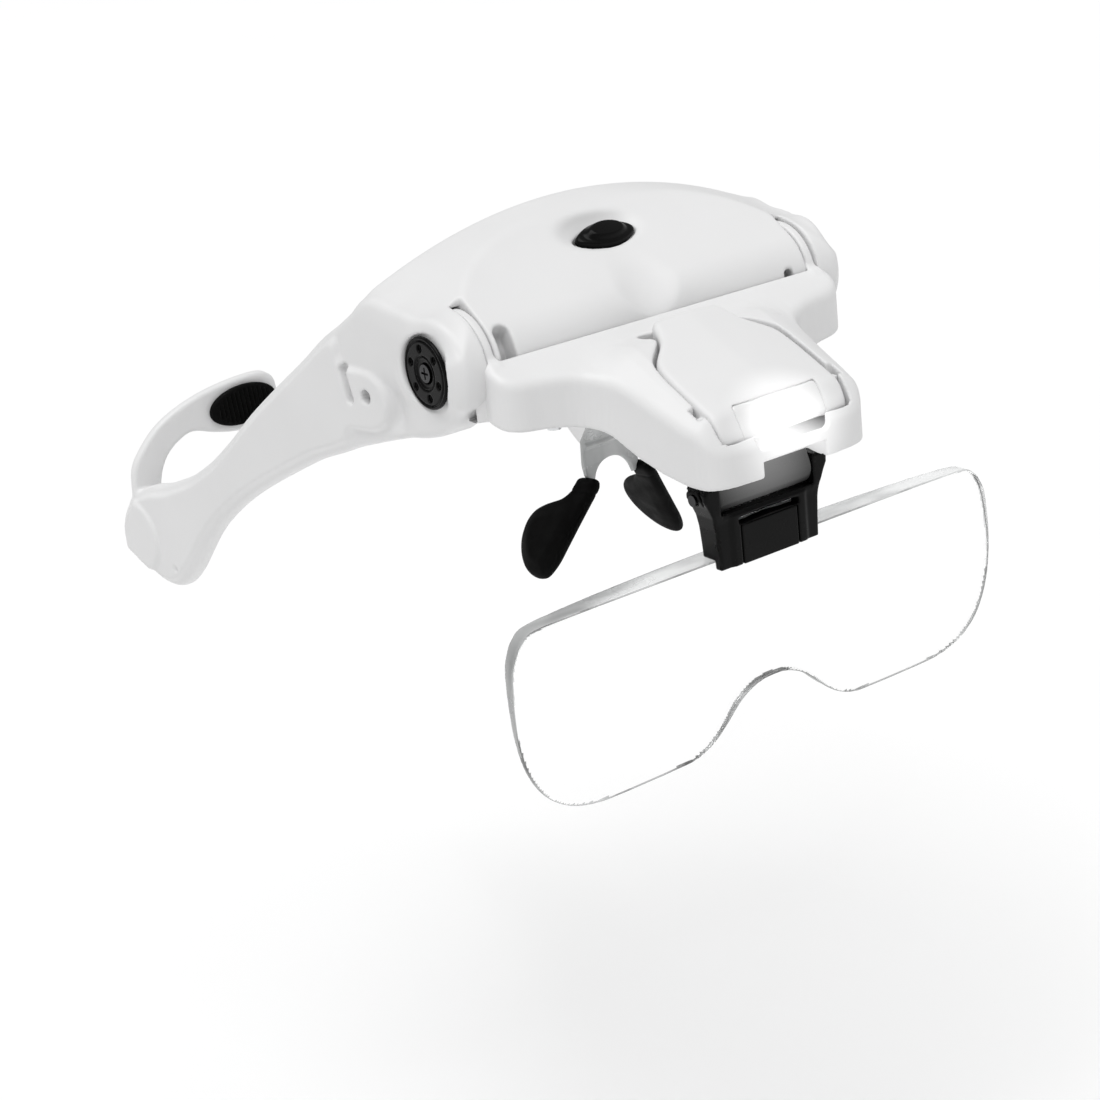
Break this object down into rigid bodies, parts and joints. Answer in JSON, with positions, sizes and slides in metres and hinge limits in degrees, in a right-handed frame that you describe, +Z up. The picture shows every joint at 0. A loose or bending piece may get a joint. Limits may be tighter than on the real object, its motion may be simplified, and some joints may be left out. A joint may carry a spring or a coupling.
{
  "type": "head visor magnifier",
  "caption": "Head-worn visor magnifier: a headset with hooked arms and a nose rest, a tilting hood with a lamp, a flip-up bracket and a clip-in wide lens.",
  "frame": {"origin": "middle of the forehead line, level with the hood's hinge axis", "axes": "+Z up, the wearer looks along -Y, +X is the wearer's left"},
  "size_m": [0.1762, 0.2263, 0.137],
  "materials": {
    "white_plastic": "fine satin moulded",
    "black_plastic": "semi-gloss moulded",
    "soft_rubber": "matt rubber",
    "foam": "closed-cell foam",
    "clear_acrylic": "polished clear",
    "nose_saddle": "satin, bent",
    "sprung_metal": "nickel plated",
    "cell_jacket": "plain sleeve",
    "circuit_board": "solder mask",
    "reflector": "bright",
    "led": "lit"
  },
  "bodies": {
    "headset": {"crown_shell": "white_plastic", "brow_band": "white_plastic", "crown_cover": "white_plastic", "battery_cells": "cell_jacket", "battery_contacts": "sprung_metal", "switch_board": "circuit_board", "push_switch": "black_plastic", "cover_screws": "sprung_metal", "forehead_pad": "foam", "hinge_barrel_left": "white_plastic", "hinge_barrel_right": "white_plastic", "pivot_caps": "black_plastic", "spring_washers": "sprung_metal", "arm_left": "white_plastic", "arm_right": "white_plastic", "hook_left": "white_plastic", "hook_right": "white_plastic", "hook_pad_left": "soft_rubber", "hook_pad_right": "soft_rubber", "nose_bridge": "nose_saddle", "nose_pad_left": "soft_rubber", "nose_pad_right": "soft_rubber"},
    "button": {"light_button": "black_plastic"},
    "battery_door": {"battery_door": "white_plastic"},
    "hood": {"hood_shell": "white_plastic", "hood_cover": "white_plastic", "hood_ear_left": "white_plastic", "hood_ear_right": "white_plastic", "pivot_screws": "sprung_metal", "hood_screws": "sprung_metal", "bracket_mount": "black_plastic", "lamp_lead": "black_plastic"},
    "lamp": {"lamp_housing": "white_plastic", "lamp_tray": "white_plastic", "lamp_window": "clear_acrylic", "lamp_reflector": "reflector", "led_board": "circuit_board", "leds": "led"},
    "lens_bracket": {"bracket_front": "black_plastic", "bracket_back": "black_plastic", "bracket_pins": "sprung_metal"},
    "tongue": {"release_tongue": "black_plastic"},
    "lens": {"lens": "clear_acrylic"}
  },
  "joints": [
    {"name": "hood_tilt", "type": "hinge", "parent": "headset", "child": "hood", "pos_m": [0, -0.0306, 0], "axis": [-1, 0, 0], "range_deg": [-10, 40]},
    {"name": "lamp_tilt", "type": "hinge", "parent": "hood", "child": "lamp", "pos_m": [0, -0.0866, -0.0126], "axis": [1, 0, 0], "range_deg": [0, 15]},
    {"name": "bracket_flip", "type": "hinge", "parent": "hood", "child": "lens_bracket", "pos_m": [0, -0.0782, -0.0366], "axis": [-1, 0, 0], "range_deg": [0, 88]},
    {"name": "lens_release", "type": "slide", "parent": "lens_bracket", "child": "lens", "axis": [0, 0, -1], "range_m": [0, 0.012]},
    {"name": "tongue_press", "type": "hinge", "parent": "lens_bracket", "child": "tongue", "pos_m": [0, -0.0818, -0.0527], "axis": [-1, 0, 0], "range_deg": [0, 4], "stiffness_Nm_per_rad": 0.05},
    {"name": "light_press", "type": "slide", "parent": "headset", "child": "button", "axis": [0, 0.5664, -0.8241], "range_m": [0, 0.0012], "stiffness_N_per_m": 400},
    {"name": "door_drop", "type": "slide", "parent": "headset", "child": "battery_door", "axis": [0, 0, -1], "range_m": [0, 0.008]}
  ]
}
